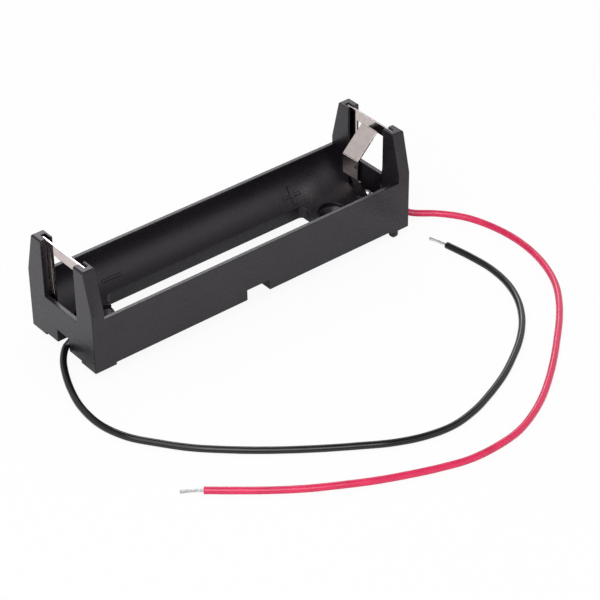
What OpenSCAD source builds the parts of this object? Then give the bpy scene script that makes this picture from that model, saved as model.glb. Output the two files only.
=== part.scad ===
// Open holder for one cylindrical cell, with a leaf contact and a wire lead at each end.
// Millimetres, +Z up, +X from the negative end to the positive end, z = 0 at the peg tips.

/* [Cell] */
// Largest diameter of the cell
cell_d = 18.6; // [16.6:0.1:20.6]
// Length of the cell over its end faces
cell_l = 65.0; // [64.0:0.1:70.0]
// Gap all round between cell and trough
cell_clear = 0.3; // [0.1:0.05:0.5]
// How far a cell pushes each contact back
preload = 0.4; // [0.1:0.05:0.8]

/* [Moulded body] */
// Height over the posts, from the pads' underside
body_h = 21.8; // [20.5:0.1:24.0]
// Thickness of the side walls at their upper rim
rim_t = 0.9; // [0.6:0.05:1.5]
// Thickness of the floor under the lowest line of the trough
floor_t = 1.9; // [1.6:0.1:3.0]
// How far the rim of the side walls lies below the cell's axis
rim_drop = 0.6; // [0.0:0.1:3.0]
// Thickness of the trough shell above the underside hollows
shell_t = 1.0; // [0.7:0.1:1.4]
// Thickness of the side walls beside the underside hollows
side_t = 1.0; // [0.7:0.1:1.4]
// Rounding of the outer vertical corners
corner_r = 0.2; // [0.1:0.1:1.0]

/* [End posts] */
// Plastic outside the contact slot
skin_t = 1.4; // [0.9:0.05:2.0]
// Plastic between the contact slot and the trough
lip_t = 0.55; // [0.4:0.05:1.0]
// Depth of the contact slot into each post
slot_depth = 1.7; // [1.2:0.1:2.2]
// Width of the gap between the two posts of one end
gap_w = 10.6; // [9.6:0.1:11.6]
// Height of the sill between the posts, from the pads' underside
sill_h = 9.2; // [7.0:0.1:10.5]
// Thickness of the end wall under the sill
end_wall_t = 1.0; // [0.6:0.1:1.3]
// Width over both posts at their tops
post_top_w = 16.7; // [15.6:0.1:17.6]
// Height where the posts' outer faces start to lean inwards
lean_h = 12.9; // [11.8:0.1:16.0]
// Rounding of the posts' top edges
post_edge_r = 0.4; // [0.2:0.1:0.8]

/* [Floor] */
// Width of the long window in the floor
window_w = 9.9; // [8.0:0.1:11.0]
// Reach of the window towards the negative end
window_neg = 25.8; // [20.0:0.1:26.4]
// Reach of the window towards the positive end
window_pos = 23.8; // [20.0:0.1:24.4]
// Rounding of the window's corners
window_r = 1.5; // [0.4:0.1:2.0]
// Thickness of the rib along each side of the window
rib_t = 1.0; // [0.6:0.1:1.6]
// How far the window ribs stop above the underside
rib_rise = 0.5; // [0.2:0.1:0.8]
// Distance between the two screw holes
screw_pitch = 56.0; // [54.0:0.5:58.0]
// Diameter of the screw holes
screw_hole_d = 3.2; // [2.6:0.1:3.6]
// Diameter of the countersink at its mouth
sink_d = 6.0; // [5.0:0.1:6.4]
// Diameter of the recess above the countersink
recess_d = 6.8; // [6.5:0.1:7.4]
// Depth of the cylindrical bore below the countersink
land_t = 0.3; // [0.2:0.05:0.5]
// Width of the notch under the middle of each side wall
mid_notch_w = 5.54; // [4.0:0.1:7.0]
// Height of that notch
mid_notch_h = 2.3; // [1.5:0.1:2.6]
// Thickness of the cross ribs on both sides of the notch
cross_rib_t = 1.0; // [0.6:0.1:1.6]

/* [Wire way] */
// Width of the wire notch in each end wall
wire_notch_w = 3.8; // [2.4:0.1:4.4]
// Height of the wire notch
wire_notch_h = 2.9; // [2.2:0.1:3.2]
// How far the wire way opens into the trough floor
wire_hole_in = 0.9; // [0.5:0.1:1.5]

/* [Feet] */
// Length of the corner pads
pad_l = 4.9; // [4.0:0.1:6.0]
// Width of the corner pads
pad_w = 4.7; // [4.0:0.1:5.5]
// Height of the corner pads
pad_h = 0.5; // [0.3:0.1:1.0]
// Diameter of the locating pegs
peg_d = 1.9; // [1.8:0.1:3.0]
// Length of the locating pegs below the pads
peg_l = 1.7; // [1.0:0.1:3.0]
// Distance between the pegs along the holder
peg_pitch = 71.4; // [70.0:0.2:72.0]
// Distance from the side face to a peg's skin
peg_inset = 0.05; // [0.0:0.05:0.5]
// Chamfer of the peg tips
peg_chamfer = 0.6; // [0.2:0.1:0.6]

/* [Contacts] */
// Thickness of the spring strip
strip_t = 0.4; // [0.3:0.05:0.5]
// Slack of the strip in the thickness of its slot
slot_clear = 0.45; // [0.2:0.05:0.6]
// Side gap between strip and slot end, taken up by the barbs
side_clear = 0.1; // [0.05:0.05:0.3]
// Height of the cross band
band_h = 2.3; // [1.8:0.1:3.0]
// How far the band's upper edge lies below the post tops
band_drop = 0.3; // [0.1:0.1:1.0]
// How far the legs show beside the posts
leg_show = 1.1; // [0.3:0.1:1.2]
// Extra width of the legs low down
leg_flare = 0.4; // [0.2:0.1:1.0]
// Width of the folded tongue
tongue_w = 4.6; // [4.0:0.1:5.0]
// Reach of the tongue from the strip's outer face to its cell face
tongue_reach = 5.4; // [4.6:0.1:6.0]
// Height of the knee above the cell's axis
knee_up = 2.1; // [1.5:0.1:3.0]
// Depth of the pad's lower bend below the cell's axis
pad_down = 2.3; // [1.8:0.1:3.0]
// Width of the tail at its end
tail_w = 3.2; // [1.8:0.1:3.2]
// Inner radius of the strip's bends
bend_r = 0.5; // [0.3:0.1:1.0]

/* [Leads] */
// Outer diameter of the insulation
lead_d = 1.4; // [1.0:0.1:1.6]
// Diameter of the tinned core
core_d = 0.6; // [0.4:0.05:0.8]
// Bare length at the free end
strip_l = 4.4; // [3.0:0.1:8.0]
// Length of core held by a solder joint
joint_l = 2.2; // [1.6:0.1:2.8]
// Solder thickness between core and tail
solder_gap = 0.1; // [0.05:0.05:0.2]
// Largest radius of the solder joint round its core
solder_r = 0.8; // [0.6:0.05:0.9]

/* [Hidden] */

// Overlap that makes a cut or a joint clean
eps = 0.01;
// Any length that reaches past the whole holder
far = 200;
// Facets of small and of large rounds
small_fn = 32;
large_fn = 96;
// Sides of a swept lead
lead_sides = 8;

// Heights above the standing surface
pad_z = peg_l;
base_z = pad_z + pad_h;
trough_r = cell_d / 2 + cell_clear;
axis_z = base_z + floor_t + trough_r;
rim_z = axis_z - rim_drop;
sill_z = pad_z + sill_h;
top_z = pad_z + body_h;
lean_z = pad_z + lean_h;
pocket_z = base_z + wire_notch_h;

// Stations along and across the holder
cell_face_x = cell_l / 2 - preload;
slot_out_x = cell_face_x + tongue_reach;
end_x = slot_out_x + skin_t;
slot_t = strip_t + slot_clear;
post_t = skin_t + slot_t + lip_t;
post_x = end_x - post_t;
half_w = trough_r + rim_t;
body_l = 2 * end_x;
body_w = 2 * half_w;
gap_y = gap_w / 2;
slot_y = gap_y + slot_depth;
peg_y = half_w - peg_inset - peg_d / 2;

// Contact stations, as [x, z] on the strip's mid line, seen along Y
plate_x = slot_out_x - strip_t / 2;
face_x = cell_face_x + strip_t / 2;
band_top_z = top_z - band_drop;
band_low_z = band_top_z - band_h;
knee_z = axis_z + knee_up;
heel_z = axis_z - pad_down;
// Run of the heel and of the tail behind the pad
heel_run = [1.4, -1.35];
tail_run = [2.0, -5.1];
heel_end = [face_x, heel_z] + heel_run;
tail_end = heel_end + tail_run;
// Where the joint lies across the holder
joint_y = -1.15;
// Length of the held core that stands out of each end of its solder
solder_inset = 0.2;
// Height of the flare's start above the sill
flare_up = 3.0;
// Barb on each leg: height of its middle above the pocket and half its length
barb_up = 2.5;
barb_half = 1.0;

// Lead routes: x from the end wall's outer face, y from the mid plane, z from the surface
negative_route = [[2.05, -1.05, 4.35], [1.55, -0.98, 3.9], [1, -0.92, 3.46], [0.5, -0.88, 3.1],
  [-0.05, -0.93, 2.8], [-0.95, -1.62, 2.5], [-2.55, -3.55, 2.1], [-4.1, -6.4, 1.55],
  [-5.75, -10.6, 1], [-7.1, -15.8, 0.76], [-7.35, -22.3, 0.7], [-5.65, -28.2, 0.7],
  [-2.35, -33.3, 0.7], [1.35, -38.1, 0.7], [5.65, -42.4, 0.7], [10.15, -46.4, 0.7],
  [14.95, -50.2, 0.7], [19.95, -53.8, 0.7], [24.95, -57.1, 0.7], [30.15, -60.3, 0.7],
  [35.75, -62.6, 0.7], [41.75, -63.6, 0.7], [47.75, -62.8, 0.7], [53.55, -60.9, 0.7],
  [59.15, -58.5, 0.7], [64.45, -55.5, 0.7], [69.45, -52.1, 0.7], [73.95, -48, 0.7],
  [77.65, -43.1, 0.7], [80.15, -37.6, 0.7], [81.25, -31.6, 0.7], [81, -25.6, 0.7],
  [80.15, -19.5, 0.7]];
positive_route = [[-2.05, -1.05, 4.4], [-1.55, -0.98, 4.12], [-1, -0.92, 3.95], [-0.4, -0.85, 3.85],
  [0.25, -0.88, 3.7], [1.6, -1.85, 3.15], [2.95, -3.75, 2], [4.15, -5.9, 1.05], [8.75, -9.8, 0.7],
  [12.15, -14.6, 0.7], [13.95, -20.3, 0.7], [14.55, -26.3, 0.7], [13.95, -32.3, 0.7],
  [12.25, -38.1, 0.7], [9.55, -43.5, 0.7], [5.85, -48.3, 0.7], [1.65, -52.6, 0.7],
  [-2.85, -56.6, 0.7], [-7.45, -60.5, 0.7], [-12.25, -64.2, 0.7], [-17.25, -67.6, 0.7],
  [-22.55, -70.4, 0.7], [-28.25, -72.4, 0.7], [-34.25, -73, 0.7], [-40.25, -72.6, 0.7],
  [-46.05, -70.9, 0.7], [-51.65, -68.7, 0.7], [-57.15, -66.2, 0.7], [-62.45, -63.3, 0.7],
  [-67.65, -60.2, 0.7], [-72.55, -56.7, 0.7], [-77.25, -52.9, 0.7], [-81.85, -49, 0.7]];

// Unit vector along v
function unit(v) = v / norm(v);

// Half the angle at corner v between its neighbours p and n
function half_angle(p, v, n) = acos(unit(p - v) * unit(n - v)) / 2;

// Distance from corner v to the ends of its rounding of radius r
function setback(p, v, n, r) = r / tan(half_angle(p, v, n));

// Centre of the rounding of radius r at corner v
function round_centre(p, v, n, r) = v + unit(unit(p - v) + unit(n - v)) * r / sin(half_angle(p, v, n));

// Outline points with each rounded corner replaced by the two ends of its rounding
function cut_corners(pts, rs) = [
  for (i = [0 : len(pts) - 1])
    let (p = pts[(i + len(pts) - 1) % len(pts)], v = pts[i], n = pts[(i + 1) % len(pts)])
    for (q = rs[i] > 0 ? [p, n] : [v])
      rs[i] > 0 ? v + unit(q - v) * setback(p, v, n, rs[i]) : v];

// Convex outline with a true round at each corner whose radius is above zero
module rounded(pts, rs) {
  polygon(cut_corners(pts, rs));
  for (i = [0 : len(pts) - 1]) {
    if (rs[i] > 0) {
      translate(round_centre(pts[(i + len(pts) - 1) % len(pts)], pts[i], pts[(i + 1) % len(pts)], rs[i]))
        circle(r = rs[i], $fn = small_fn);
    }
  }
}

// Extrude an outline drawn in Y and Z along X
module along_x(length) {
  rotate([90, 0, 90])
    linear_extrude(height = length, center = true)
      children();
}

// Extrude an outline drawn in X and Z along Y
module along_y(length) {
  rotate([90, 0, 0])
    linear_extrude(height = length, center = true)
      children();
}

// Same thing at both ends, drawn at the positive end
module both_ends() {
  children();
  mirror([1, 0, 0])
    children();
}

// Box between two corners
module box(low, high) {
  translate(low)
    cube(high - low);
}

// Plan outline of the body
module plan_outline() {
  rounded([[-end_x, -half_w], [end_x, -half_w], [end_x, half_w], [-end_x, half_w]],
    [corner_r, corner_r, corner_r, corner_r]);
}

// End view of the body: upright walls, posts leaning in above them
module end_outline() {
  rounded([[-half_w, base_z], [half_w, base_z], [half_w, lean_z], [post_top_w / 2, top_z],
    [-post_top_w / 2, top_z], [-half_w, lean_z]],
    [0, 0, 0, post_edge_r, post_edge_r, 0]);
}

// Side view of one post, drawn at the positive end
module post_side() {
  rounded([[post_x, base_z], [end_x, base_z], [end_x, top_z], [post_x, top_z]],
    [0, 0, post_edge_r, post_edge_r / 2]);
}

// Solid block of walls and posts before anything is cut out
module body_block() {
  intersection() {
    translate([0, 0, base_z])
      linear_extrude(height = body_h)
        plan_outline();
    along_x(body_l + 2)
      end_outline();
    along_y(body_w + 2)
      union() {
        translate([-post_x - eps, base_z])
          square([2 * (post_x + eps), rim_z - base_z]);
        post_side();
        mirror([1, 0])
          post_side();
      }
  }
}

// Flat pads under the four corners
module pads() {
  intersection() {
    translate([0, 0, pad_z])
      linear_extrude(height = pad_h + eps)
        plan_outline();
    union() {
      for (sx = [-1, 1]) {
        for (sy = [-1, 1]) {
          translate([sx * (end_x - pad_l / 2), sy * (half_w - pad_w / 2), base_z])
            cube([pad_l, pad_w, 2 * pad_h + 1], center = true);
        }
      }
    }
  }
}

// Locating peg with a chamfered tip, on a bar at the pads' level that joins it to its corner pad
module peg() {
  pad_x = end_x - pad_l / 2;
  peg_x = peg_pitch / 2;
  translate([peg_x, -peg_y, 0]) {
    cylinder(h = peg_chamfer, r1 = peg_d / 2 - peg_chamfer, r2 = peg_d / 2, $fn = small_fn);
    translate([0, 0, peg_chamfer])
      cylinder(h = peg_l + pad_h - peg_chamfer, d = peg_d, $fn = small_fn);
  }
  box([min(peg_x, pad_x), -peg_y - peg_d / 2, pad_z], [max(peg_x, pad_x), -peg_y + peg_d / 2, base_z]);
}

// Room for the contact: gap between the posts, pocket behind the end wall and slots in the posts
module end_cuts() {
  box([post_x - eps, -gap_y, sill_z], [end_x + 1, gap_y, top_z + 1]);
  box([post_x - eps, -gap_y, pocket_z], [end_x - end_wall_t, gap_y, top_z]);
  box([slot_out_x - slot_t, -slot_y, pocket_z], [slot_out_x, slot_y, top_z + 1]);
  box([post_x - wire_hole_in, -wire_notch_w / 2, base_z - 1], [end_x + 1, wire_notch_w / 2, pocket_z]);
}

// Screw recess, countersink and hole, drawn at the origin
module screw_cut() {
  cone_h = (sink_d - screw_hole_d) / 2;
  translate([0, 0, base_z + land_t + cone_h])
    cylinder(h = trough_r, d = recess_d, $fn = large_fn);
  translate([0, 0, base_z + land_t])
    cylinder(h = cone_h + eps, r1 = screw_hole_d / 2, r2 = sink_d / 2 + eps, $fn = large_fn);
  translate([0, 0, base_z - 1])
    cylinder(h = land_t + 1 + eps, d = screw_hole_d, $fn = large_fn);
}

// Long window in the floor, with the ribs beside it cut short
module window_cut() {
  translate([0, 0, base_z - 1])
    linear_extrude(height = axis_z)
      rounded([[-window_neg, -window_w / 2], [window_pos, -window_w / 2],
        [window_pos, window_w / 2], [-window_neg, window_w / 2]],
        [window_r, window_r, window_r, window_r]);
  box([-window_neg, -window_w / 2 - rib_t, base_z - 1],
    [window_pos, window_w / 2 + rib_t, base_z + rib_rise]);
}

// Hollows under the trough shell, in three bays on each side, and the notch into the middle bay
module underside_cuts() {
  bay_in = window_w / 2 + rib_t;
  bay_out = half_w - side_t;
  mid_x = mid_notch_w / 2;
  bay_end = end_x - pad_l;
  difference() {
    for (sy = [-1, 1]) {
      for (bay = [[-bay_end, -mid_x - cross_rib_t], [-mid_x, mid_x], [mid_x + cross_rib_t, bay_end]]) {
        translate([bay[0], sy > 0 ? bay_in : -bay_out, base_z - 1])
          cube([bay[1] - bay[0], bay_out - bay_in, axis_z - base_z]);
      }
    }
    translate([0, 0, axis_z])
      rotate([0, 90, 0])
        cylinder(h = far, r = trough_r + shell_t, center = true, $fn = large_fn);
  }
  for (sy = [-1, 1]) {
    translate([-mid_x, sy > 0 ? bay_in : -half_w - 1, base_z - 1])
      cube([mid_notch_w, half_w + 1 - bay_in, mid_notch_h + 1]);
  }
}

// The whole moulding
module holder_body() {
  color("#2b2a2c")
    difference() {
      union() {
        body_block();
        pads();
        for (turn = [0, 180]) {
          rotate([0, 0, turn])
            peg();
        }
      }
      translate([0, 0, axis_z])
        rotate([0, 90, 0])
          cylinder(h = 2 * post_x, r = trough_r, center = true, $fn = large_fn);
      both_ends()
        end_cuts();
      for (s = [-1, 1]) {
        translate([s * screw_pitch / 2, 0, 0])
          screw_cut();
      }
      window_cut();
      underside_cuts();
    }
}

// One bend of a strip on its mid radius r: the ring sector between the ends of the rounding
module bend(p, v, n, r) {
  c = round_centre(p, v, n, r);
  s = setback(p, v, n, r);
  a = v + unit(p - v) * s;
  b = v + unit(n - v) * s;
  tip = c + (v - c) * 2;
  intersection() {
    translate(c)
      difference() {
        circle(r = r + strip_t / 2, $fn = small_fn);
        circle(r = r - strip_t / 2, $fn = small_fn);
      }
    polygon([c, c + (a - c) * 2, tip, c + (b - c) * 2]);
  }
}

// Strip folded along mid-line points, with a bend of mid radius rs[i] at each inner point
module folded(pts, rs) {
  last = len(pts) - 1;
  for (i = [0 : last - 1]) {
    u = unit(pts[i + 1] - pts[i]);
    side = [-u[1], u[0]] * strip_t / 2;
    from = i == 0 ? pts[0] : pts[i] + u * setback(pts[i - 1], pts[i], pts[i + 1], rs[i]);
    to = i == last - 1 ? pts[last]
      : pts[i + 1] - u * setback(pts[i], pts[i + 1], pts[i + 2], rs[i + 1]);
    low = from - u * eps;
    high = to + u * eps;
    polygon([low - side, high - side, high + side, low + side]);
  }
  for (i = [1 : last - 1]) {
    bend(pts[i - 1], pts[i], pts[i + 1], rs[i]);
  }
}

// Front view of one leg, from the band down to the pocket floor, with its barb
module leg_outline() {
  out = slot_y - side_clear;
  inner = gap_y - leg_show;
  barb_z = pocket_z + barb_up;
  polygon([[inner, band_low_z + eps], [inner, sill_z + flare_up], [inner - leg_flare, sill_z],
    [inner - leg_flare, pocket_z], [out, pocket_z], [out, barb_z - barb_half], [slot_y, barb_z - barb_half],
    [slot_y, barb_z], [out, barb_z + barb_half], [out, band_low_z + eps]]);
}

// Front view of the flat plate: cross band and two legs
module plate_outline() {
  out = slot_y - side_clear;
  translate([-out, band_low_z])
    square([2 * out, band_h]);
  leg_outline();
  mirror([1, 0])
    leg_outline();
}

// Front view of the tongue: full width down to the heel, then tapering to the tail
module tongue_outline() {
  polygon([[-tongue_w / 2, band_low_z + band_h / 2], [tongue_w / 2, band_low_z + band_h / 2],
    [tongue_w / 2, heel_z], [tail_w / 2, heel_end[1]], [tail_w / 2, tail_end[1] - 1],
    [-tail_w / 2, tail_end[1] - 1], [-tail_w / 2, heel_end[1]], [-tongue_w / 2, heel_z]]);
}

// Contact of the positive end
module contact() {
  mid_r = bend_r + strip_t / 2;
  translate([plate_x, 0, 0])
    along_x(strip_t)
      plate_outline();
  intersection() {
    along_y(tongue_w)
      folded([[plate_x, band_low_z + band_h / 2], [plate_x, band_low_z], [face_x, knee_z],
        [face_x, heel_z], heel_end, tail_end], [0, mid_r, mid_r, mid_r, 2 * mid_r, 0]);
    along_x(far)
      tongue_outline();
  }
}

// Point on the core's axis beside the tail, at distance s back from the tail's end
function joint_point(s, end_sign) =
  let (u = unit(tail_run), n = [-u[1], u[0]], q = tail_end - u * s + n * (strip_t / 2 + solder_gap + core_d / 2))
  [end_sign * q[0], joint_y, q[1]];

// Route points moved to their place at one end of the holder, none lower than the lead can lie
function placed(route, end_sign) =
  [for (p = route) [p[0] + end_sign * end_x, p[1], max(p[2], lead_d / 2)]];

// Core from its upper end at the tail to the start of the insulation
function joint_core(route, end_sign) =
  let (p = placed(route, end_sign), u = unit(p[1] - p[0]))
  [joint_point(joint_l, end_sign), joint_point(0, end_sign), p[0] - u * core_d, p[0]];

// Core standing out of the insulation at the free end
function free_core(route, end_sign) =
  let (p = placed(route, end_sign), last = len(p) - 1, u = unit(p[last] - p[last - 1]))
  [p[last], p[last] + u * strip_l];

// Direction of a route at point i
function route_dir(pts, i) =
  unit((i == 0 ? unit(pts[1] - pts[0]) : unit(pts[i] - pts[i - 1]))
    + (i == len(pts) - 1 ? unit(pts[i] - pts[i - 1]) : unit(pts[i + 1] - pts[i])));

// Ring of points round route point i, square to the route
function ring(pts, i, r) =
  let (t = route_dir(pts, i), a = unit(cross(t, [0, 0, 1])), b = cross(a, t))
  [for (k = [0 : lead_sides - 1]) pts[i] + r * (cos(k * 360 / lead_sides) * a + sin(k * 360 / lead_sides) * b)];

// Round tube swept along a route
module swept(pts, d) {
  m = lead_sides;
  last = len(pts) - 1;
  points = [for (i = [0 : last]) each ring(pts, i, d / 2)];
  sides = [for (i = [0 : last - 1]) for (k = [0 : m - 1])
    [i * m + k, i * m + (k + 1) % m, (i + 1) * m + (k + 1) % m, (i + 1) * m + k]];
  start = [for (k = [0 : m - 1]) m - 1 - k];
  end = [for (k = [0 : m - 1]) last * m + k];
  polyhedron(points = points, faces = concat([start], sides, [end]));
}

// Barrel of solder round the core at the positive end, flat where it lies on the tail
module solder_joint() {
  low = joint_point(solder_inset, 1);
  v = joint_point(joint_l - solder_inset, 1) - low;
  h = norm(v);
  tail_gap = core_d / 2 + solder_gap;
  translate(low)
    rotate([0, atan2(v[0], v[2]), 0])
      difference() {
        rotate_extrude($fn = small_fn)
          polygon([[0, 0], [solder_r * 0.6, 0], [solder_r, h * 0.3], [solder_r, h * 0.6],
            [solder_r * 0.75, h * 0.9], [solder_r * 0.5, h], [0, h]]);
        translate([0, 0, -1])
          cylinder(h = h + 2, d = core_d, $fn = small_fn);
        translate([-tail_gap - 2, -2, -1])
          cube([2, 4, h + 2]);
      }
}

module negative_contact() {
  color("#c9c2be")
    mirror([1, 0, 0])
      contact();
}

module positive_contact() {
  color("#c9c2be")
    contact();
}

module negative_lead() {
  color("#26262a")
    swept(placed(negative_route, -1), lead_d);
}

module positive_lead() {
  color("#d2325c")
    swept(placed(positive_route, 1), lead_d);
}

module negative_core() {
  color("#bdbdc0") {
    swept(joint_core(negative_route, -1), core_d);
    swept(free_core(negative_route, -1), core_d);
  }
}

module positive_core() {
  color("#bdbdc0") {
    swept(joint_core(positive_route, 1), core_d);
    swept(free_core(positive_route, 1), core_d);
  }
}

module negative_solder() {
  color("#dcdce0")
    mirror([1, 0, 0])
      solder_joint();
}

module positive_solder() {
  color("#dcdce0")
    solder_joint();
}

holder_body();
negative_contact();
positive_contact();
negative_lead();
positive_lead();
negative_core();
positive_core();
negative_solder();
positive_solder();
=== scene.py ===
import math

import bmesh
import bpy
from mathutils import Matrix, Vector
from mathutils.bvhtree import BVHTree


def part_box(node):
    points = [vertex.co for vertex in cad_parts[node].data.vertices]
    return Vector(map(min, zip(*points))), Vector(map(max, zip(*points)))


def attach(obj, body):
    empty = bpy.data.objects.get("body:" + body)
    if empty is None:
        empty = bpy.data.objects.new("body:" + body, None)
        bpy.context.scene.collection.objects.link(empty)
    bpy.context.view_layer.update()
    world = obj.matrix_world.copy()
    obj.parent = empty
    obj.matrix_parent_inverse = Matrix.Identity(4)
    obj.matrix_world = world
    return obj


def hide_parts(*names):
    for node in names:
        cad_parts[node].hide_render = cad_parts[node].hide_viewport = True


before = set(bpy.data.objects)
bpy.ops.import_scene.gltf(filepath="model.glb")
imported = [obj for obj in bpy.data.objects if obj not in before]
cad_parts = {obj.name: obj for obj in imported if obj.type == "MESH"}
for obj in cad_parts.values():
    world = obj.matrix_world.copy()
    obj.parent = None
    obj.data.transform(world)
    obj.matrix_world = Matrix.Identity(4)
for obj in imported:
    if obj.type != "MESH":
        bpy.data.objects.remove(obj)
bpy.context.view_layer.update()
MM = 0.001
scene = bpy.context.scene
scene.view_settings.view_transform = "Standard"


def add_object(name, data):
    made = bpy.data.objects.new(name, data)
    scene.collection.objects.link(made)
    return made


# Camera -----------------------------------------------------------------------------------------

CAMERA_AIM = (18.736, 0.0, -13.342)      # mm
CAMERA_HEADING = 38.906                  # degrees, turned from +Y towards +X
CAMERA_TILT = 35.516                     # degrees below level
CAMERA_ROLL = -0.596                     # degrees
CAMERA_DISTANCE = 474.008                # mm
CAMERA_SENSOR = 36                       # mm
CAMERA_LENS = 137.88                     # mm


def place_camera():
    heading, tilt, roll = (math.radians(v) for v in (CAMERA_HEADING, CAMERA_TILT, CAMERA_ROLL))
    level_ahead = Vector((math.sin(heading), math.cos(heading), 0))
    ahead = level_ahead * math.cos(tilt) + Vector((0, 0, -math.sin(tilt)))
    level_right = Vector((math.cos(heading), -math.sin(heading), 0))
    level_up = level_right.cross(ahead)
    right = level_right * math.cos(roll) + level_up * math.sin(roll)
    up = level_up * math.cos(roll) - level_right * math.sin(roll)
    data = bpy.data.cameras.new("camera")
    data.lens = CAMERA_LENS
    data.sensor_width = CAMERA_SENSOR
    data.clip_start = 0.01
    data.clip_end = 20
    camera = add_object("camera", data)
    place = Matrix((right, up, -ahead)).transposed().to_4x4()
    place.translation = (Vector(CAMERA_AIM) - ahead * CAMERA_DISTANCE) * MM
    camera.matrix_world = place
    scene.camera = camera


place_camera()

# Materials --------------------------------------------------------------------------------------


def linear(hex_colour, alpha=1.0):
    """sRGB hex value as the linear colour that a shader takes."""
    parts = [int(hex_colour[i:i + 2], 16) / 255 for i in (1, 3, 5)]
    return [p / 12.92 if p <= 0.04045 else ((p + 0.055) / 1.055) ** 2.4 for p in parts] + [alpha]


def node(tree, kind, inputs=None, **settings):
    """Adds one node. An input is a value, or another node's output to link."""
    made = tree.nodes.new(kind)
    for key, value in settings.items():
        setattr(made, key, value)
    for key, value in (inputs or {}).items():
        if isinstance(value, bpy.types.NodeSocket):
            tree.links.new(value, made.inputs[key])
        else:
            made.inputs[key].default_value = value
    return made


def new_material(name):
    material = bpy.data.materials.new(name)
    material.use_nodes = True
    material.node_tree.nodes.clear()
    return material, material.node_tree


def moulded_abs():
    """Black ABS from a spark-eroded mould: charcoal with matte grain, faint flow clouds and paler specks."""
    material, tree = new_material("moulded_abs_black")
    place = node(tree, "ShaderNodeTexCoord").outputs["Object"]
    # Flow clouds about 6 mm across
    cloud = node(tree, "ShaderNodeTexNoise", {"Vector": place, "Scale": 160, "Detail": 3, "Roughness": 0.55})
    # Grain of about 0.4 mm, drawn three times as coarse as the real grit so that it shows
    grain = node(tree, "ShaderNodeTexNoise", {"Vector": place, "Scale": 2500, "Detail": 5, "Roughness": 0.7})
    tint = node(tree, "ShaderNodeMapRange", {
        "Value": cloud.outputs["Fac"], "From Min": 0.3, "From Max": 0.7})
    base = node(tree, "ShaderNodeMix", {0: tint.outputs[0], 6: linear("#151217"), 7: linear("#1b181d")},
                data_type="RGBA")
    speck = node(tree, "ShaderNodeMapRange", {
        "Value": grain.outputs["Fac"], "From Min": 0.58, "From Max": 0.72})
    colour = node(tree, "ShaderNodeMix", {0: speck.outputs[0], 6: base.outputs[2], 7: linear("#2c292f")},
                  data_type="RGBA")
    rough = node(tree, "ShaderNodeMapRange", {
        "Value": grain.outputs["Fac"], "From Min": 0.3, "From Max": 0.7, "To Min": 0.35, "To Max": 0.25})
    bump = node(tree, "ShaderNodeBump", {
        "Height": grain.outputs["Fac"], "Strength": 0.4, "Distance": 0.00006})
    shader = node(tree, "ShaderNodeBsdfPrincipled", {
        "Base Color": colour.outputs[2], "Roughness": rough.outputs[0], "IOR": 1.52,
        "Specular Tint": linear("#fdf8ff"), "Normal": bump.outputs[0]})
    node(tree, "ShaderNodeOutputMaterial", {"Surface": shader.outputs[0]})
    return material


def nickel_strip():
    """Nickel-plated spring strip: warm grey metal with fine rolling lines and a soft, cloudy gleam."""
    material, tree = new_material("nickel_plated_strip")
    place = node(tree, "ShaderNodeTexCoord").outputs["Object"]
    # Rolling lines along Y, the strip's own length before it was folded: 0.07 mm apart and 2 mm long, drawn
    # coarser than the real ones so that they show
    drawn = node(tree, "ShaderNodeMapping", {"Vector": place, "Scale": (14000, 500, 14000)})
    lines = node(tree, "ShaderNodeTexNoise", {
        "Vector": drawn.outputs[0], "Scale": 1, "Detail": 3, "Roughness": 0.6})
    # Clouds in the plating about 1.4 mm across
    cloud = node(tree, "ShaderNodeTexNoise", {"Vector": place, "Scale": 700, "Detail": 2})
    tint = node(tree, "ShaderNodeMapRange", {
        "Value": cloud.outputs["Fac"], "From Min": 0.3, "From Max": 0.7})
    colour = node(tree, "ShaderNodeMix", {0: tint.outputs[0], 6: linear("#c8bdba"), 7: linear("#d2c7c4")},
                  data_type="RGBA")
    rough = node(tree, "ShaderNodeMapRange", {
        "Value": lines.outputs["Fac"], "From Min": 0.3, "From Max": 0.7, "To Min": 0.04, "To Max": 0.08})
    bump = node(tree, "ShaderNodeBump", {
        "Height": lines.outputs["Fac"], "Strength": 0.08, "Distance": 0.00001})
    shader = node(tree, "ShaderNodeBsdfPrincipled", {
        "Base Color": colour.outputs[2], "Metallic": 1.0, "Roughness": rough.outputs[0],
        "Normal": bump.outputs[0]})
    node(tree, "ShaderNodeOutputMaterial", {"Surface": shader.outputs[0]})
    return material


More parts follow.
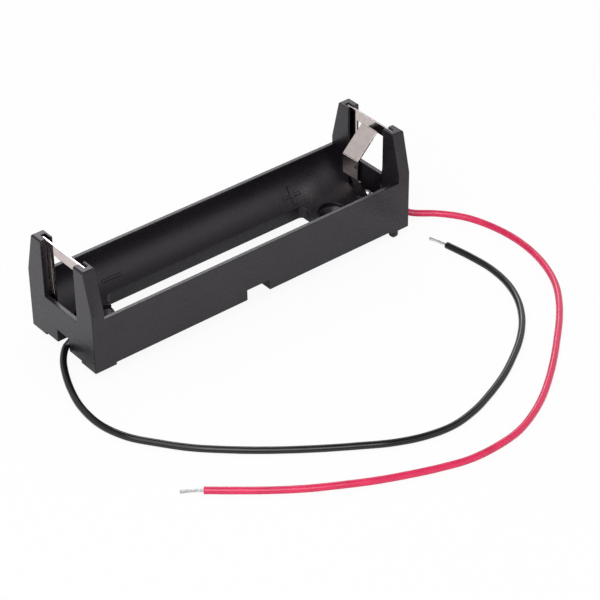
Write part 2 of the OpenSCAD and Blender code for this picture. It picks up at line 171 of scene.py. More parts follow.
def vinyl(name, colour, shade, roughness):
    """Extruded vinyl insulation: smooth and glossy, with faint die lines and a slightly cloudy colour."""
    material, tree = new_material(name)
    along = node(tree, "ShaderNodeUVMap", uv_map="lead").outputs["UV"]
    place = node(tree, "ShaderNodeTexCoord").outputs["Object"]
    # The map is in metres, round the lead and along it. Die lines 0.15 mm apart and 8 mm long, drawn coarser
    # than the real ones so that they show
    drawn = node(tree, "ShaderNodeMapping", {"Vector": along, "Scale": (6500, 120, 1)})
    lines = node(tree, "ShaderNodeTexNoise", {"Vector": drawn.outputs[0], "Scale": 1, "Detail": 2})
    # Clouds about 3 mm across, in the colour and in the gloss
    cloud = node(tree, "ShaderNodeTexNoise", {"Vector": place, "Scale": 350, "Detail": 3})
    tint = node(tree, "ShaderNodeMapRange", {
        "Value": cloud.outputs["Fac"], "From Min": 0.3, "From Max": 0.7})
    base = node(tree, "ShaderNodeMix", {0: tint.outputs[0], 6: linear(shade), 7: linear(colour)},
                data_type="RGBA")
    rough = node(tree, "ShaderNodeMapRange", {
        "Value": cloud.outputs["Fac"], "From Min": 0.3, "From Max": 0.7, "To Min": roughness - 0.05,
        "To Max": roughness + 0.07})
    bump = node(tree, "ShaderNodeBump", {
        "Height": lines.outputs["Fac"], "Strength": 0.2, "Distance": 0.00002})
    shader = node(tree, "ShaderNodeBsdfPrincipled", {
        "Base Color": base.outputs[2], "Roughness": rough.outputs[0], "IOR": 1.53, "Normal": bump.outputs[0]})
    node(tree, "ShaderNodeOutputMaterial", {"Surface": shader.outputs[0]})
    return material


def tinned_copper():
    """Tinned copper strand: pale grey metal with a satin gleam, duller where the tin has oxidised."""
    material, tree = new_material("tinned_copper_strand")
    place = node(tree, "ShaderNodeTexCoord").outputs["Object"]
    # Dull patches about 0.4 mm across
    dull = node(tree, "ShaderNodeTexNoise", {"Vector": place, "Scale": 2500, "Detail": 3})
    tint = node(tree, "ShaderNodeMapRange", {
        "Value": dull.outputs["Fac"], "From Min": 0.35, "From Max": 0.65})
    colour = node(tree, "ShaderNodeMix", {0: tint.outputs[0], 6: linear("#c4c4c6"), 7: linear("#e6e6e8")},
                  data_type="RGBA")
    rough = node(tree, "ShaderNodeMapRange", {
        "Value": dull.outputs["Fac"], "From Min": 0.35, "From Max": 0.65, "To Min": 0.6, "To Max": 0.45})
    shader = node(tree, "ShaderNodeBsdfPrincipled", {
        "Base Color": colour.outputs[2], "Metallic": 1.0, "Roughness": rough.outputs[0]})
    node(tree, "ShaderNodeOutputMaterial", {"Surface": shader.outputs[0]})
    return material


def bright_solder():
    """Tin solder frozen from a molten drop: bright satin skin with a few duller, wrinkled patches."""
    material, tree = new_material("bright_tin_solder")
    place = node(tree, "ShaderNodeTexCoord").outputs["Object"]
    # Wrinkles about 0.6 mm across
    skin = node(tree, "ShaderNodeTexNoise", {"Vector": place, "Scale": 1800, "Detail": 3})
    rough = node(tree, "ShaderNodeMapRange", {
        "Value": skin.outputs["Fac"], "From Min": 0.35, "From Max": 0.7, "To Min": 0.34, "To Max": 0.46})
    bump = node(tree, "ShaderNodeBump", {
        "Height": skin.outputs["Fac"], "Strength": 0.15, "Distance": 0.00004})
    shader = node(tree, "ShaderNodeBsdfPrincipled", {
        "Base Color": linear("#f6f6f7"), "Metallic": 1.0, "Roughness": rough.outputs[0],
        "Normal": bump.outputs[0]})
    node(tree, "ShaderNodeOutputMaterial", {"Surface": shader.outputs[0]})
    return material


ABS = moulded_abs()
NICKEL = nickel_strip()
BLACK_VINYL = vinyl("vinyl_insulation_black", "#121113", "#0d0c0e", 0.16)
RED_VINYL = vinyl("vinyl_insulation_red", "#e42c5e", "#d22553", 0.2)
TINNED = tinned_copper()
SOLDER = bright_solder()

# Leads ------------------------------------------------------------------------------------------

END_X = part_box("holder_body")[1].x      # the end wall's outer face
LEAD_R = 0.0007
CORE_R = 0.0003
BORE_R = CORE_R + 0.00004               # the insulation's bore at its cut ends, with a little play
LEAD_SIDES = 20
LEAD_STEP = 0.0006                      # spacing of the rings along a lead
LEAD_WAVE = 0.012                       # share of its radius by which the insulation varies

# The CAD model's routes, in metres: x from the end wall's outer face, y from the middle, z from the floor
NEGATIVE_ROUTE = (
    (0.00205, -0.00105, 0.00435), (0.00155, -0.00098, 0.0039), (0.001, -0.00092, 0.00346),
    (0.0005, -0.00088, 0.0031), (-0.00005, -0.00093, 0.0028), (-0.00095, -0.00162, 0.0025),
    (-0.00255, -0.00355, 0.0021), (-0.0041, -0.0064, 0.00155), (-0.00575, -0.0106, 0.001),
    (-0.0071, -0.0158, 0.00076), (-0.00735, -0.0223, 0.0007), (-0.00565, -0.0282, 0.0007),
    (-0.00235, -0.0333, 0.0007), (0.00135, -0.0381, 0.0007), (0.00565, -0.0424, 0.0007),
    (0.01015, -0.0464, 0.0007), (0.01495, -0.0502, 0.0007), (0.01995, -0.0538, 0.0007),
    (0.02495, -0.0571, 0.0007), (0.03015, -0.0603, 0.0007), (0.03575, -0.0626, 0.0007),
    (0.04175, -0.0636, 0.0007), (0.04775, -0.0628, 0.0007), (0.05355, -0.0609, 0.0007),
    (0.05915, -0.0585, 0.0007), (0.06445, -0.0555, 0.0007), (0.06945, -0.0521, 0.0007),
    (0.07395, -0.048, 0.0007), (0.07765, -0.0431, 0.0007), (0.08015, -0.0376, 0.0007),
    (0.08125, -0.0316, 0.0007), (0.081, -0.0256, 0.0007), (0.08015, -0.0195, 0.0007))
POSITIVE_ROUTE = (
    (-0.00205, -0.00105, 0.0044), (-0.00155, -0.00098, 0.00412), (-0.001, -0.00092, 0.00395),
    (-0.0004, -0.00085, 0.00385), (0.00025, -0.00088, 0.0037), (0.0016, -0.00185, 0.00315),
    (0.00295, -0.00375, 0.002), (0.00415, -0.0059, 0.00105), (0.00875, -0.0098, 0.0007),
    (0.01215, -0.0146, 0.0007), (0.01395, -0.0203, 0.0007), (0.01455, -0.0263, 0.0007),
    (0.01395, -0.0323, 0.0007), (0.01225, -0.0381, 0.0007), (0.00955, -0.0435, 0.0007),
    (0.00585, -0.0483, 0.0007), (0.00165, -0.0526, 0.0007), (-0.00285, -0.0566, 0.0007),
    (-0.00745, -0.0605, 0.0007), (-0.01225, -0.0642, 0.0007), (-0.01725, -0.0676, 0.0007),
    (-0.02255, -0.0704, 0.0007), (-0.02825, -0.0724, 0.0007), (-0.03425, -0.073, 0.0007),
    (-0.04025, -0.0726, 0.0007), (-0.04605, -0.0709, 0.0007), (-0.05165, -0.0687, 0.0007),
    (-0.05715, -0.0662, 0.0007), (-0.06245, -0.0633, 0.0007), (-0.06765, -0.0602, 0.0007),
    (-0.07255, -0.0567, 0.0007), (-0.07725, -0.0529, 0.0007), (-0.08185, -0.049, 0.0007))


def smooth_path(points, step):
    """The centripetal Catmull-Rom curve through the points, in steps of about that length."""
    ends = [points[0] * 2 - points[1]] + list(points) + [points[-1] * 2 - points[-2]]
    line = []
    for a, b, c, d in zip(ends, ends[1:], ends[2:], ends[3:]):
        t1 = (b - a).length ** 0.5
        t2 = t1 + (c - b).length ** 0.5
        t3 = t2 + (d - c).length ** 0.5
        count = max(1, round((c - b).length / step))
        for i in range(count):
            t = t1 + (t2 - t1) * i / count
            ab = a.lerp(b, t / t1)
            bc = b.lerp(c, (t - t1) / (t2 - t1))
            cd = c.lerp(d, (t - t2) / (t3 - t2))
            abc = ab.lerp(bc, t / t2)
            bcd = bc.lerp(cd, (t - t1) / (t3 - t1))
            line.append(abc.lerp(bcd, (t - t1) / (t2 - t1)))
    line.append(points[-1].copy())
    # A lead lies on the floor and never sinks into it
    for p in line:
        p.z = max(p.z, LEAD_R)
    return line


def path_frames(line):
    """Direction and two side vectors at each point, carried along the line without twist."""
    ahead = [(line[min(i + 1, len(line) - 1)] - line[max(i - 1, 0)]).normalized() for i in range(len(line))]
    side = ahead[0].cross(Vector((0, 0, 1))).normalized()
    frames = []
    for direction in ahead:
        side = (side - direction * side.dot(direction)).normalized()
        frames.append((direction, side, direction.cross(side)))
    return frames


def mesh_from(bm, name):
    mesh = bpy.data.meshes.new(name)
    bm.to_mesh(mesh)
    bm.free()
    return mesh


def add_piece(name, mesh, material, slot, *nodes):
    """Adds a finished mesh as a piece that stands for those CAD nodes."""
    mesh.materials.clear()
    mesh.materials.append(material)
    piece = add_object(name, mesh)
    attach(piece, "root")
    if nodes:
        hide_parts(*nodes)
    return piece


def ring_faces(bm, low, high):
    """Joins two rings of vertices with a band of quads."""
    nexts = [(k + 1) % len(low) for k in range(len(low))]
    return [bm.faces.new((low[k], low[n], high[n], high[k])) for k, n in enumerate(nexts)]


# Distance from the cut and radius, from the bottom of the insulation's open bore to its full outside
CUT_END = (
    (0.0006, BORE_R), (0.00002, BORE_R), (0.0, BORE_R + 0.00003), (0.0, LEAD_R - 0.00008),
    (0.00003, LEAD_R - 0.00002), (0.0001, LEAD_R))


def insulation_radius(distance):
    """The extruded surface is slightly uneven: waves of 7 mm and 19 mm, within the full radius."""
    return LEAD_R * (1 - LEAD_WAVE + LEAD_WAVE * math.sin(distance * 900) * math.sin(distance * 330))


def insulation_mesh(name, line):
    """Tube with rounded cut edges and a short open bore at each end, where the core comes out."""
    frames = path_frames(line)
    travelled = [0.0]
    for a, b in zip(line, line[1:]):
        travelled.append(travelled[-1] + (b - a).length)
    # Each ring is its place along the line, its shift along the direction there, and its radius
    last = len(line) - 1
    rings = [(0, shift, radius) for shift, radius in CUT_END]
    rings += [(i, 0.0, insulation_radius(travelled[i])) for i in range(1, last)]
    rings += [(last, -shift, radius) for shift, radius in reversed(CUT_END)]
    bm = bmesh.new()
    loops = []
    for i, shift, radius in rings:
        direction, side, up = frames[i]
        centre = line[i] + direction * shift
        loops.append([bm.verts.new(centre + (side * math.cos(a) + up * math.sin(a)) * radius)
                      for a in (2 * math.pi * k / LEAD_SIDES for k in range(LEAD_SIDES))])
    grid = bm.loops.layers.uv.new("lead")
    around = 2 * math.pi * LEAD_R / LEAD_SIDES
    for (i, *_), (j, *_), low, high in zip(rings, rings[1:], loops, loops[1:]):
        for k, face in enumerate(ring_faces(bm, low, high)):
            places = ((k, i), (k + 1, i), (k + 1, j), (k, j))
            for corner, (turn, ring) in zip(face.loops, places):
                corner[grid].uv = (turn * around, travelled[ring])
    bm.faces.new(loops[0])
    bm.faces.new(loops[-1])
    bmesh.ops.recalc_face_normals(bm, faces=bm.faces)
    for face in bm.faces:
        face.smooth = len(face.verts) == 4
    return mesh_from(bm, name)


# Stranded core ----------------------------------------------------------------------------------

STRAND_COUNT = 7
STRAND_R = 0.0001
LAY_LENGTH = 0.0042             # one full turn of the twist
FRAY = 0.00006                  # how far the strands spread at a free tip
BARE_L = 0.0043                 # bare length at the free end
BARE_POINTS = 31
BARE_BEND = 0.00048             # how far its tip is bent sideways
CORE_INSIDE = 0.0005            # how far the core reaches into the insulation
CORE_OUT = 0.0003               # how far it runs straight on towards the joint
JOINT_STEP = 0.00012


def strand_tree():
    """Turns a line into a twisted bundle: one strand in the middle and the others round it."""
    tree = bpy.data.node_groups.new("strand_bundle", "GeometryNodeTree")
    face = tree.interface
    face.new_socket("Geometry", in_out="INPUT", socket_type="NodeSocketGeometry")
    for name, kind in (
            ("Strands", "NodeSocketInt"), ("Strand Radius", "NodeSocketFloat"),
            ("Lay Length", "NodeSocketFloat"), ("Fray", "NodeSocketFloat"), ("Seed", "NodeSocketInt"),
            ("Material", "NodeSocketMaterial")):
        face.new_socket(name, in_out="INPUT", socket_type=kind)
    face.new_socket("Geometry", in_out="OUTPUT", socket_type="NodeSocketGeometry")
    given = node(tree, "NodeGroupInput").outputs
    copies = node(tree, "GeometryNodeDuplicateElements", {
        "Geometry": given["Geometry"], "Amount": given["Strands"]}, domain="SPLINE")
    kept = node(tree, "GeometryNodeCaptureAttribute", {"Geometry": copies.outputs["Geometry"]},
                domain="CURVE")
    kept.capture_items.new("INT", "Strand")
    tree.links.new(copies.outputs["Duplicate Index"], kept.inputs[1])
    strand = kept.outputs[1]
    # The middle strand stays on the line; the rest stand two strand radii off it
    outer = node(tree, "ShaderNodeMath", {0: strand, 1: 0.5}, operation="GREATER_THAN")
    share = node(tree, "ShaderNodeMath", {0: given["Strands"], 1: 1.0}, operation="SUBTRACT")
    turn = node(tree, "ShaderNodeMath", {0: strand, 1: share.outputs[0]}, operation="DIVIDE")
    spline = node(tree, "GeometryNodeSplineParameter")
    lay = node(tree, "ShaderNodeMath", {0: spline.outputs["Length"], 1: given["Lay Length"]},
               operation="DIVIDE")
    turns = node(tree, "ShaderNodeMath", {0: turn.outputs[0], 1: lay.outputs[0]}, operation="ADD")
    angle = node(tree, "ShaderNodeMath", {0: turns.outputs[0], 1: 2 * math.pi}, operation="MULTIPLY")
    # Near the free tip each strand leaves the bundle by its own amount
    tip = node(tree, "ShaderNodeMapRange", {
        "Value": spline.outputs["Factor"], "From Min": 0.55, "From Max": 1.0},
               interpolation_type="SMOOTHSTEP")
    loose = node(tree, "FunctionNodeRandomValue", {2: 0.1, 3: 1.0, "ID": strand, "Seed": given["Seed"]})
    spread = node(tree, "ShaderNodeMath", {0: tip.outputs[0], 1: loose.outputs[1]}, operation="MULTIPLY")
    frayed = node(tree, "ShaderNodeMath", {0: spread.outputs[0], 1: given["Fray"]}, operation="MULTIPLY")
    width = node(tree, "ShaderNodeMath", {0: given["Strand Radius"], 1: 2.0}, operation="MULTIPLY")
    off = node(tree, "ShaderNodeMath", {0: width.outputs[0], 1: frayed.outputs[0]}, operation="ADD")
    reach = node(tree, "ShaderNodeMath", {0: off.outputs[0], 1: outer.outputs[0]}, operation="MULTIPLY")
    tangent = node(tree, "GeometryNodeInputTangent")
    normal = node(tree, "GeometryNodeInputNormal")
    swing = node(tree, "ShaderNodeVectorRotate", {
        "Vector": normal.outputs["Normal"], "Axis": tangent.outputs[0], "Angle": angle.outputs[0]},
                 rotation_type="AXIS_ANGLE")
    shift = node(tree, "ShaderNodeVectorMath", {0: swing.outputs[0], "Scale": reach.outputs[0]},
                 operation="SCALE")
    moved = node(tree, "GeometryNodeSetPosition", {"Geometry": kept.outputs[0], "Offset": shift.outputs[0]})
    # The strands are not cut to quite the same length
    end = node(tree, "FunctionNodeRandomValue", {2: 0.9, 3: 1.0, "ID": strand, "Seed": given["Seed"]})
    cut = node(tree, "GeometryNodeTrimCurve", {"Curve": moved.outputs[0], "End": end.outputs[1]},
               mode="FACTOR")
    round_wire = node(tree, "GeometryNodeCurvePrimitiveCircle", {
        "Resolution": 8, "Radius": given["Strand Radius"]})
    solid = node(tree, "GeometryNodeCurveToMesh", {
        "Curve": cut.outputs[0], "Profile Curve": round_wire.outputs[0], "Fill Caps": True})
    smooth = node(tree, "GeometryNodeSetShadeSmooth", {"Geometry": solid.outputs[0]})
    real = node(tree, "GeometryNodeRealizeInstances", {"Geometry": smooth.outputs[0]})
    dressed = node(tree, "GeometryNodeSetMaterial", {
        "Geometry": real.outputs[0], "Material": given["Material"]})
    node(tree, "NodeGroupOutput", {"Geometry": dressed.outputs[0]})
    return tree


STRANDS = strand_tree()


def strand_mesh(line, fray, seed):
    """The bundle along one line, as a plain mesh."""
    curve = bpy.data.curves.new("core_line", "CURVE")
    curve.dimensions = "3D"
    spline = curve.splines.new("POLY")
    spline.points.add(len(line) - 1)
    for point, place in zip(spline.points, line):
        point.co = (*place, 1)
    carrier = add_object("core_line", curve)
    modifier = carrier.modifiers.new("strands", "NODES")
    modifier.node_group = STRANDS
    values = {"Strands": STRAND_COUNT, "Strand Radius": STRAND_R, "Lay Length": LAY_LENGTH, "Fray": fray,
              "Seed": seed, "Material": TINNED}
    for item in STRANDS.interface.items_tree:
        if item.in_out == "INPUT" and item.name in values:
            modifier[item.identifier] = values[item.name]
    graph = bpy.context.evaluated_depsgraph_get()
    mesh = bpy.data.meshes.new_from_object(carrier.evaluated_get(graph))
    bpy.data.objects.remove(carrier)
    return mesh


def joined(name, *meshes):
    bm = bmesh.new()
    for mesh in meshes:
        bm.from_mesh(mesh)
        bpy.data.meshes.remove(mesh)
    bmesh.ops.recalc_face_normals(bm, faces=bm.faces)
    return mesh_from(bm, name)


def bare_end(line):
    """The core's line past the insulation's free end, bent slightly sideways."""
    out = (line[-1] - line[-2]).normalized()
    side = out.cross(Vector((0, 0, 1)))
    parts = [i / (BARE_POINTS - 1) for i in range(BARE_POINTS)]
    return [line[-1] + out * (BARE_L * t - CORE_INSIDE * (1 - t)) - side * (BARE_BEND * t * t) for t in parts]


def joint_end(line, joint):
    """The core's line from inside the insulation's other end through the solder joint."""
    into = (line[0] - line[1]).normalized()
    start = [line[0] - into * CORE_INSIDE, line[0] + into * CORE_OUT]
    return smooth_path(start + joint, JOINT_STEP)


def make_lead(end, end_sign, route, material, slot, joint, seed):
    """One lead with its stranded core."""
    line = smooth_path([Vector((end_sign * END_X + x, y, z)) for x, y, z in route], LEAD_STEP)
    insulation = add_piece(end + "_insulation", insulation_mesh(end + "_insulation", line), material, slot,
                           end + "_lead")
    cores = joined(end + "_strands", strand_mesh(bare_end(line), FRAY, seed),
                   strand_mesh(joint_end(line, joint), 0.0, seed + 1))
    core = add_piece(end + "_strands", cores, TINNED, "tinned_core", end + "_core")


# Solder joints ----------------------------------------------------------------------------------

# Middle line of the joint from its low end, in metres, at the positive end; the tail runs beside it
JOINT_LOW = Vector((0.03626, -0.00115, 0.00517))
JOINT_HIGH = Vector((0.03546, -0.00115, 0.00722))
TAIL_GAP = 0.0001               # solder between the core and the tail
DROP_R = 0.00086
DROP_INSET = 0.06               # share of the joint's length left free at each end
DROP_RINGS = 26
DROP_SIDES = 28


def solder_mesh(name, end_sign):
    """A frozen drop round the core: fat in the middle, drawn out thin at both ends, flat against the tail."""
    line = JOINT_HIGH - JOINT_LOW
    up = line.normalized()
    out = Vector((up.z, 0, -up.x))
    across = Vector((0, 1, 0))
    bm = bmesh.new()
    loops = []
    for i in range(DROP_RINGS):
        t = (i + 0.5) / DROP_RINGS
        # Widest a little above the middle, and full rather than pointed towards the ends
        fat = math.sin(math.pi * t ** 1.25) ** 0.62
        centre = JOINT_LOW + line * (DROP_INSET + (1 - 2 * DROP_INSET) * t)
        loop = []
        for k in range(DROP_SIDES):
            a = 2 * math.pi * k / DROP_SIDES
            lump = 1 + 0.02 * math.sin(3 * a + 5 * t) + 0.03 * math.cos(2 * a - 7 * t)
            radius = DROP_R * fat * lump
            outward = max(radius * math.cos(a), -CORE_R - TAIL_GAP)
            point = centre + out * outward + across * radius * math.sin(a)
            loop.append(bm.verts.new((point.x * end_sign, point.y, point.z)))
        loops.append(loop)
    for low, high in zip(loops, loops[1:]):
        ring_faces(bm, low, high)
    bm.faces.new(loops[0])
    bm.faces.new(loops[-1])
    bmesh.ops.recalc_face_normals(bm, faces=bm.faces)
    for face in bm.faces:
        face.smooth = True
    return mesh_from(bm, name)


for end, end_sign, route, vinyl_colour, lead_slot, strand_seed in (
        ("negative", -1, NEGATIVE_ROUTE, BLACK_VINYL, "black_insulation", 4),
        ("positive", 1, POSITIVE_ROUTE, RED_VINYL, "red_insulation", 11)):
    joint = [Vector((p.x * end_sign, p.y, p.z)) for p in (JOINT_LOW, JOINT_HIGH)]
    make_lead(end, end_sign, route, vinyl_colour, lead_slot, joint, strand_seed)
    add_piece(end + "_solder_drop", solder_mesh(end + "_solder_drop", end_sign), SOLDER, "solder",
              end + "_solder")

# Body and contacts ------------------------------------------------------------------------------

SAME_PLACE = 0.000002   # corners this close together are one corner of the CAD shape
FLAT_ANGLE = 0.6        # degrees; facets that turn less than this are one flat face
THROWN_OFF = 0.75       # share of the rounding's width by which a corner may leave the CAD shape
RIB_LEVEL = 0.0027      # lower faces of the ribs beside the window, which run out to nothing at its corners
TROUGH_R = 0.0096
TROUGH_Z = 0.0137       # height of the trough's axis
FACET_GAP = 0.00003     # how far the corners of a trough facet may lie from the true cylinder
FACET_AIM = 0.99        # cosine of the angle by which it may turn away from the axis


def corner_normals(bm, rounding, sharp):
    """Shades flat and curved faces among themselves, and bends the narrow rounding faces to meet them."""
    bm.normal_update()
    alike = math.cos(math.radians(sharp))
    normals = []
    for face in bm.faces:
        face.smooth = True
        for corner in face.loops:
            there = corner.vert.link_faces
            main = [f for f in there if f not in rounding and f.normal.dot(face.normal) > alike]
            blend = main or [f for f in there if f in rounding]
            normals.append(sum((f.normal * f.calc_area() for f in blend), Vector()).normalized())
    return normals


def eased_copy(cad_node, name, width, merge, sharp):
    """The CAD node's shape with its outer edges of more than `sharp` degrees rounded over."""
    bm = bmesh.new()
    bm.from_mesh(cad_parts[cad_node].data)
    bmesh.ops.remove_doubles(bm, verts=bm.verts, dist=SAME_PLACE)
    bmesh.ops.dissolve_limit(bm, angle_limit=math.radians(FLAT_ANGLE), verts=bm.verts, edges=bm.edges)
    surface = BVHTree.FromBMesh(bm)
    # Edges that are short beside the rounding would tangle it
    bmesh.ops.remove_doubles(bm, verts=bm.verts, dist=merge)
    outer = [e for e in bm.edges if e.is_manifold and e.calc_face_angle_signed(0) > math.radians(sharp)
             and max(abs(v.co.z - RIB_LEVEL) for v in e.verts) > 0.5 * SAME_PLACE]
    made = bmesh.ops.bevel(bm, geom=outer, offset=width, offset_type="OFFSET", segments=2, profile=0.5,
                           affect="EDGES", clamp_overlap=False, loop_slide=False, miter_outer="SHARP")
    # A corner that the rounding has thrown off the shape goes back to it
    for vert in bm.verts:
        nearest, _, _, gap = surface.find_nearest(vert.co)
        if gap > THROWN_OFF * width:
            vert.co = nearest
    normals = corner_normals(bm, set(made["faces"]), sharp)
    mesh = mesh_from(bm, name)
    mesh.normals_split_custom_set(normals)
    return mesh


def round_trough(mesh):
    """Gives the trough wall the normals of a true cylinder, so that its long facets don't show as stripes."""
    normals = [tuple(n.vector) for n in mesh.corner_normals]
    for face in mesh.polygons:
        radii = [math.hypot(mesh.vertices[v].co.y, mesh.vertices[v].co.z - TROUGH_Z) for v in face.vertices]
        inward = Vector((0, -face.center.y, TROUGH_Z - face.center.z)).normalized()
        if max(abs(r - TROUGH_R) for r in radii) < FACET_GAP and face.normal.dot(inward) > FACET_AIM:
            for corner in face.loop_indices:
                p = mesh.vertices[mesh.loops[corner].vertex_index].co
                normals[corner] = tuple(Vector((0, -p.y, TROUGH_Z - p.z)).normalized())
    mesh.normals_split_custom_set(normals)
    return mesh


body_shell = eased_copy("holder_body", "moulded_body", width=0.00012, merge=0.00003, sharp=32)
add_piece("moulded_body", round_trough(body_shell), ABS, "body_plastic", "holder_body")
for end in ("negative", "positive"):
    strip = eased_copy(end + "_contact", end + "_leaf", width=0.00005, merge=0.000025, sharp=40)
    add_piece(end + "_leaf", strip, NICKEL, "contact_strip", end + "_contact")

# Polarity marks and gate nib --------------------------------------------------------------------

MARK_HALF = 0.00033     # half the width of a stroke
MARK_RISE = 0.0003
MARK_SUNK = 0.0001      # how far a mark starts behind the wall
MARK_EDGE = 0.00012     # rounding of its raised edges
BEND_CUT = 0.00027      # spacing of the cuts that let a mark follow the wall
BEND_CUTS = 9           # on either side of its middle


def wall_mark(name, outline, x, angle):
    """An outline raised from the trough wall and bent to its radius, with its middle at (x, angle)."""
    bm = bmesh.new()
    face = bm.faces.new([bm.verts.new((u, v, -MARK_SUNK)) for u, v in outline])
    top = bmesh.ops.extrude_face_region(bm, geom=[face])
    raised = [g for g in top["geom"] if isinstance(g, bmesh.types.BMVert)]
    bmesh.ops.translate(bm, verts=raised, vec=(0, 0, MARK_RISE + MARK_SUNK))
    bmesh.ops.recalc_face_normals(bm, faces=bm.faces)
    rim = [e for e in bm.edges if all(v.co.z > 0 for v in e.verts)]
    bmesh.ops.bevel(bm, geom=rim, offset=MARK_EDGE, segments=3, affect="EDGES", profile=0.5)
    for i in range(-BEND_CUTS, BEND_CUTS + 1):
        bmesh.ops.bisect_plane(bm, geom=bm.verts[:] + bm.edges[:] + bm.faces[:], dist=1e-7,
                               plane_co=(0, i * BEND_CUT, 0), plane_no=(0, 1, 0))
    for v in bm.verts:
        a = angle + v.co.y / TROUGH_R
        r = TROUGH_R - v.co.z
        v.co = (x + v.co.x, r * math.sin(a), TROUGH_Z - r * math.cos(a))
    bmesh.ops.recalc_face_normals(bm, faces=bm.faces)
    add_piece(name, mesh_from(bm, name), ABS, "body_plastic")


def bar(half_l, half_w):
    return [(-half_l, -half_w), (half_l, -half_w), (half_l, half_w), (-half_l, half_w)]


def cross(half_l, half_w):
    l, w = half_l, half_w
    return [(-l, -w), (-w, -w), (-w, -l), (w, -l), (w, -w), (l, -w),
            (l, w), (w, w), (w, l), (-w, l), (-w, w), (-l, w)]


def disc(radius, sides):
    turns = [2 * math.pi * k / sides for k in range(sides)]
    return [(radius * math.cos(a), radius * math.sin(a)) for a in turns]


wall_mark("minus_mark", bar(0.00225, MARK_HALF), x=-0.02245, angle=math.radians(46.4))
wall_mark("plus_mark", cross(0.0022, MARK_HALF), x=0.0225, angle=math.radians(47.0))
wall_mark("gate_nib", disc(0.0003, 16), x=0.0286, angle=math.radians(62.6))

# Floor, world and lights ------------------------------------------------------------------------

FLOOR_HALF = 3.0
FLOOR_BELOW = 0.00002   # keeps the paper out of the plane of the peg tips
SEEN_GLOW = 0.92        # how far the floor is lifted to plain white for the camera
MIRRORED_GLOW = 0.05    # and in reflections
SOFT_LIGHT = 0.54       # even light from all round
HORIZON = 0.35          # the surrounding wall at its foot, as mirrors show it
WALL_FROM = 0.42        # sine of the height from which it is plain white on the right
LEFT_WALL = 0.78        # and this pale on the left
LEFT_EDGE = -0.4        # the wall turns from one to the other between these shares of the way across
RIGHT_EDGE = 0.2
WALL_TOP = 0.55         # sine of the height where the wall starts to darken
CEILING_FROM = 0.85     # and from which it is as dark as the ceiling
CEILING = 0.2
LIT_PLACE = Vector((0, -0.02, 0.01))    # where the lights point


def seen_white(tree, ray):
    """1 for rays that show the background: the camera's, mirrored and refracted ones."""
    seen = node(tree, "ShaderNodeMath", {0: ray["Is Camera Ray"], 1: ray["Is Glossy Ray"]},
                operation="MAXIMUM")
    return node(tree, "ShaderNodeMath", {0: seen.outputs[0], 1: ray["Is Transmission Ray"]},
                operation="MAXIMUM").outputs[0]


def make_floor():
    """White studio paper. The camera sees it nearly white, and reflections keep more of its shadows."""
    material, tree = new_material("studio_paper")
    ray = node(tree, "ShaderNodeLightPath").outputs
    paper = node(tree, "ShaderNodeBsdfDiffuse", {"Color": linear("#f4f4f4")}).outputs[0]
    glow = node(tree, "ShaderNodeEmission", {"Color": linear("#ffffff"), "Strength": 1.0}).outputs[0]
    share = node(tree, "ShaderNodeMapRange", {
        "Value": ray["Is Camera Ray"], "To Min": MIRRORED_GLOW, "To Max": SEEN_GLOW})
    lifted = node(tree, "ShaderNodeMixShader", {0: share.outputs[0], 1: paper, 2: glow}).outputs[0]
    floor_look = node(tree, "ShaderNodeMixShader", {0: seen_white(tree, ray), 1: paper, 2: lifted}).outputs[0]
    node(tree, "ShaderNodeOutputMaterial", {"Surface": floor_look})
    mesh = bpy.data.meshes.new("studio_floor")
    far = FLOOR_HALF
    mesh.from_pydata([(-far, -far, 0), (far, -far, 0), (far, far, 0), (-far, far, 0)], [], [(0, 1, 2, 3)])
    mesh.materials.append(material)
    floor = add_object("studio_floor", mesh)
    floor.location.z = -FLOOR_BELOW


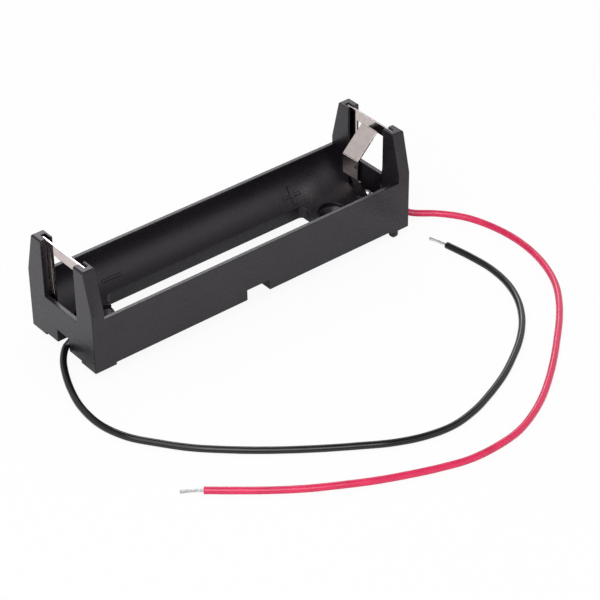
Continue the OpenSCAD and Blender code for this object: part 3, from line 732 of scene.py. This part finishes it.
def make_world():
    """A pale wall all round that darkens towards the ceiling, and an even soft light."""
    world = bpy.data.worlds.new("studio")
    scene.world = world
    world.use_nodes = True
    tree = world.node_tree
    tree.nodes.clear()
    ray = node(tree, "ShaderNodeLightPath").outputs
    way = node(tree, "ShaderNodeTexCoord").outputs["Generated"]
    parts = node(tree, "ShaderNodeSeparateXYZ", {0: way}).outputs
    side = node(tree, "ShaderNodeMapRange", {
        "Value": parts["X"], "From Min": LEFT_EDGE, "From Max": RIGHT_EDGE, "To Min": LEFT_WALL},
                interpolation_type="SMOOTHSTEP")
    foot = node(tree, "ShaderNodeMapRange", {
        "Value": parts["Z"], "From Min": 0.0, "From Max": WALL_FROM, "To Min": HORIZON},
                interpolation_type="SMOOTHSTEP")
    top = node(tree, "ShaderNodeMapRange", {
        "Value": parts["Z"], "From Min": WALL_TOP, "From Max": CEILING_FROM, "To Min": 1.0,
        "To Max": CEILING}, interpolation_type="SMOOTHSTEP")
    lower = node(tree, "ShaderNodeMath", {0: side.outputs[0], 1: foot.outputs[0]}, operation="MULTIPLY")
    wall = node(tree, "ShaderNodeMath", {0: lower.outputs[0], 1: top.outputs[0]}, operation="MULTIPLY")
    soft = node(tree, "ShaderNodeBackground", {"Color": linear("#ffffff"), "Strength": SOFT_LIGHT})
    white = node(tree, "ShaderNodeBackground", {"Color": linear("#ffffff"), "Strength": wall.outputs[0]})
    look = node(tree, "ShaderNodeMixShader", {
        0: seen_white(tree, ray), 1: soft.outputs[0], 2: white.outputs[0]})
    node(tree, "ShaderNodeOutputWorld", {"Surface": look.outputs[0]})


def softbox(name, place, size, power):
    data = bpy.data.lights.new(name, "AREA")
    data.shape = "RECTANGLE"
    data.size, data.size_y = size
    data.energy = power
    light = add_object(name, data)
    light.location = place
    light.rotation_mode = "QUATERNION"
    light.rotation_quaternion = (LIT_PLACE - Vector(place)).to_track_quat("-Z", "Y")


make_floor()
make_world()
softbox("key_left", place=(-0.75, -0.35, 0.55), size=(0.6, 0.6), power=1.2)
softbox("front_high", place=(-0.45, -0.6, 0.7), size=(0.5, 0.5), power=2.8)
softbox("top_left", place=(-0.4, -0.1, 0.85), size=(0.6, 0.6), power=2.0)
softbox("back", place=(0.42, 0.7, 0.58), size=(0.3, 0.2), power=0.9)
